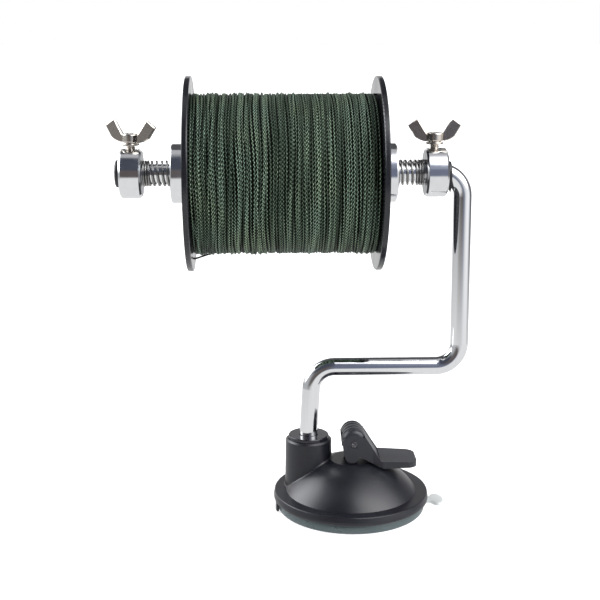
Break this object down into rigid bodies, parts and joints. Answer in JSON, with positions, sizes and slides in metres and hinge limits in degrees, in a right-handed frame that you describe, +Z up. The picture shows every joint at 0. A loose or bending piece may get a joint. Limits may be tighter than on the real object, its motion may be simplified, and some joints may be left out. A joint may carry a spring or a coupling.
{
  "type": "line spool stand",
  "caption": "Bent-rod stand on a lever-locked suction base; two sprung cones hold a wound line spool on its axle between screw-clamped collars.",
  "frame": {"origin": "centre of the suction pad's flat face, on the surface that the stand sits on", "axes": "+Z up; +X along the axle from its capped end towards the upright; the user stands on the -Y side"},
  "size_m": [0.1563, 0.0822, 0.1898],
  "materials": {
    "housing": "satin black ABS",
    "post_ring": "satin black",
    "pad": "clear soft PVC",
    "lever": "satin black",
    "stem": "matte black",
    "pin": "ground",
    "rod": "polished",
    "rubber": "matte black",
    "turned": "turned and polished",
    "spring": "bright drawn wire",
    "nickel": "nickel plate",
    "spool": "gloss black",
    "line": "dark green braid"
  },
  "bodies": {
    "base": {"base_housing": "housing", "post_cap": "post_ring", "suction_pad": "pad", "bent_rod": "rod", "rod_end_cap": "rubber", "stop_ring": "rubber"},
    "stem": {"pull_stem": "stem", "lever_pin": "pin"},
    "lever": {"cam_lever": "lever"},
    "spool": {"spool_flange_left": "spool", "spool_flange_right": "spool", "spool_core": "spool", "line_winding": "line", "line_tail": "line"},
    "collar_left": {"collar_left": "turned", "spring_left": "spring"},
    "collar_right": {"collar_right": "turned", "spring_right": "spring"},
    "cone_left": {"cone_left": "turned"},
    "cone_right": {"cone_right": "turned"},
    "stud_left": {"screw_stud_left": "nickel"},
    "stud_right": {"screw_stud_right": "nickel"},
    "wing_left": {"wing_head_left": "nickel"},
    "wing_right": {"wing_head_right": "nickel"}
  },
  "joints": [
    {"name": "stem_drop", "type": "slide", "parent": "base", "child": "stem", "axis": [0, 0, -1], "range_m": [0, 0.002], "deforming": ["suction_pad"]},
    {"name": "lever_lift", "type": "hinge", "parent": "stem", "child": "lever", "pos_m": [0.0008, 0, 0.0312], "axis": [0, -1, 0], "range_deg": [0, 90]},
    {"name": "spool_spin", "type": "hinge", "parent": "base", "child": "spool", "pos_m": [-0.0293, 0.005, 0.14865], "axis": [1, 0, 0], "continuous": true},
    {"name": "collar_left_slide", "type": "slide", "parent": "base", "child": "collar_left", "axis": [1, 0, 0], "range_m": [0, 0.0045]},
    {"name": "collar_right_slide", "type": "slide", "parent": "base", "child": "collar_right", "axis": [-1, 0, 0], "range_m": [0, 0.0045]},
    {"name": "cone_left_slide", "type": "slide", "parent": "collar_left", "child": "cone_left", "axis": [-1, 0, 0], "range_m": [0, 0.0045], "deforming": ["spring_left"]},
    {"name": "cone_right_slide", "type": "slide", "parent": "collar_right", "child": "cone_right", "axis": [1, 0, 0], "range_m": [0, 0.0045], "deforming": ["spring_right"]},
    {"name": "stud_left_rise", "type": "slide", "parent": "collar_left", "child": "stud_left", "axis": [0, 0, 1], "range_m": [0, 0.0014]},
    {"name": "stud_right_rise", "type": "slide", "parent": "collar_right", "child": "stud_right", "axis": [0, 0, 1], "range_m": [0, 0.0014]},
    {"name": "wing_left_turn", "type": "hinge", "parent": "stud_left", "child": "wing_left", "pos_m": [-0.0938, 0.005, 0.161], "axis": [0, 0, 1], "range_deg": [0, 720]},
    {"name": "wing_right_turn", "type": "hinge", "parent": "stud_right", "child": "wing_right", "pos_m": [0.0346, 0.005, 0.161], "axis": [0, 0, 1], "range_deg": [0, 720]}
  ],
  "couplings": [
    {"joint": "stem_drop", "follows": "lever_lift", "m_per_rad": 0.00127},
    {"joint": "cone_left_slide", "follows": "collar_left_slide", "ratio": 1},
    {"joint": "cone_right_slide", "follows": "collar_right_slide", "ratio": 1},
    {"joint": "stud_left_rise", "follows": "wing_left_turn", "m_per_rad": 0.0001114},
    {"joint": "stud_right_rise", "follows": "wing_right_turn", "m_per_rad": 0.0001114}
  ]
}
